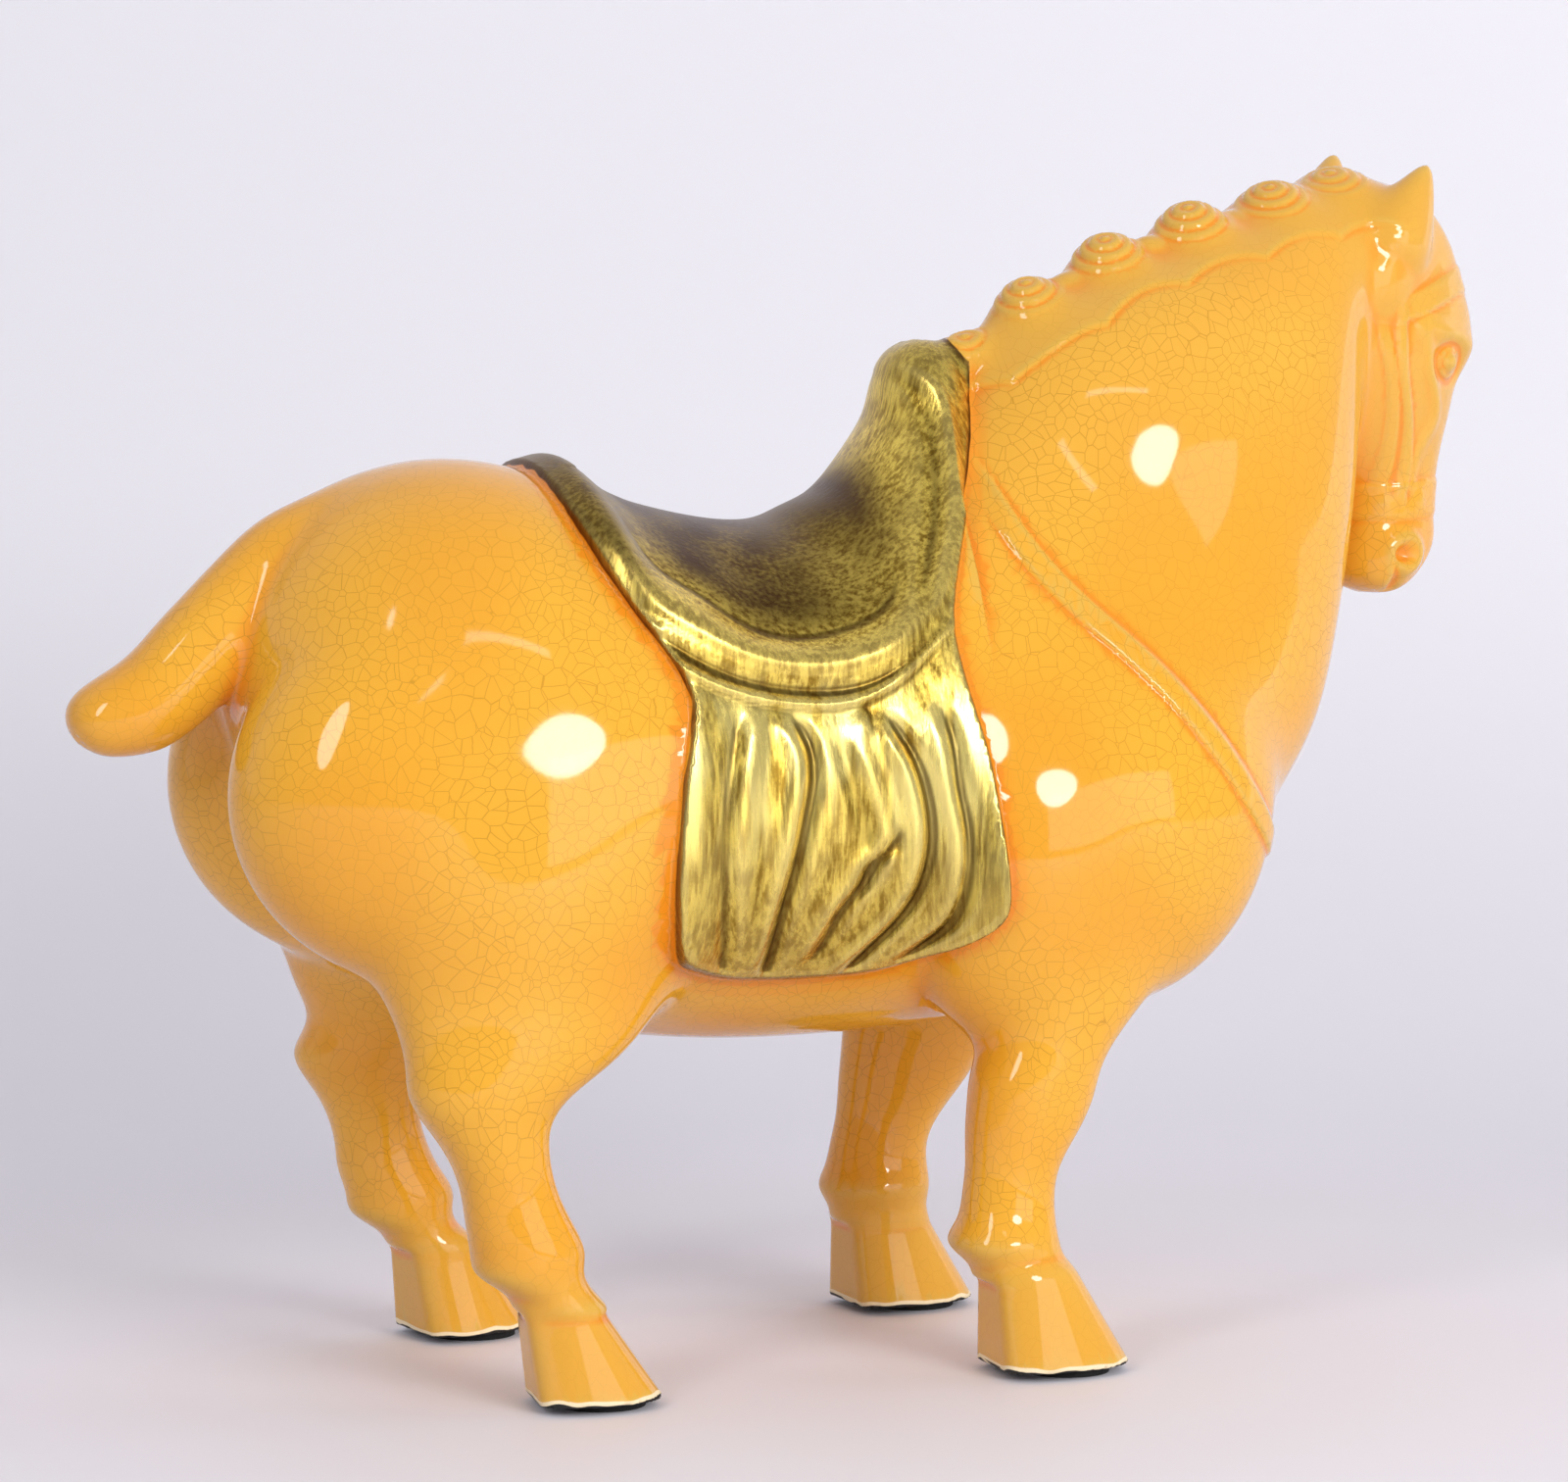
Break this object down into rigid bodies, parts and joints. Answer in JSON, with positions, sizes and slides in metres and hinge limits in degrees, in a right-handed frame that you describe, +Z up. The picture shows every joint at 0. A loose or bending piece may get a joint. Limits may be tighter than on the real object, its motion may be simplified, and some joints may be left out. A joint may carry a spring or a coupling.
{
  "type": "ceramic horse figurine",
  "caption": "Standing glazed ceramic horse with turned head, knotted mane, gold saddle and hanging saddle cloth, on small round pads.",
  "frame": {"origin": "centre of the bounding box in plan, at the floor the pads stand on", "axes": "+X towards the head, +Y to the horse's own left, +Z up"},
  "size_m": [0.3918, 0.1383, 0.3085],
  "materials": {
    "glaze": "glossy yellow-orange crackle glaze, gold leaf on saddle and cloth",
    "pad_rubber": "matt black"
  },
  "bodies": {
    "root": {"horse": "glaze", "pad_fore_right": "pad_rubber", "pad_fore_left": "pad_rubber", "pad_hind_right": "pad_rubber", "pad_hind_left": "pad_rubber"}
  },
  "joints": []
}
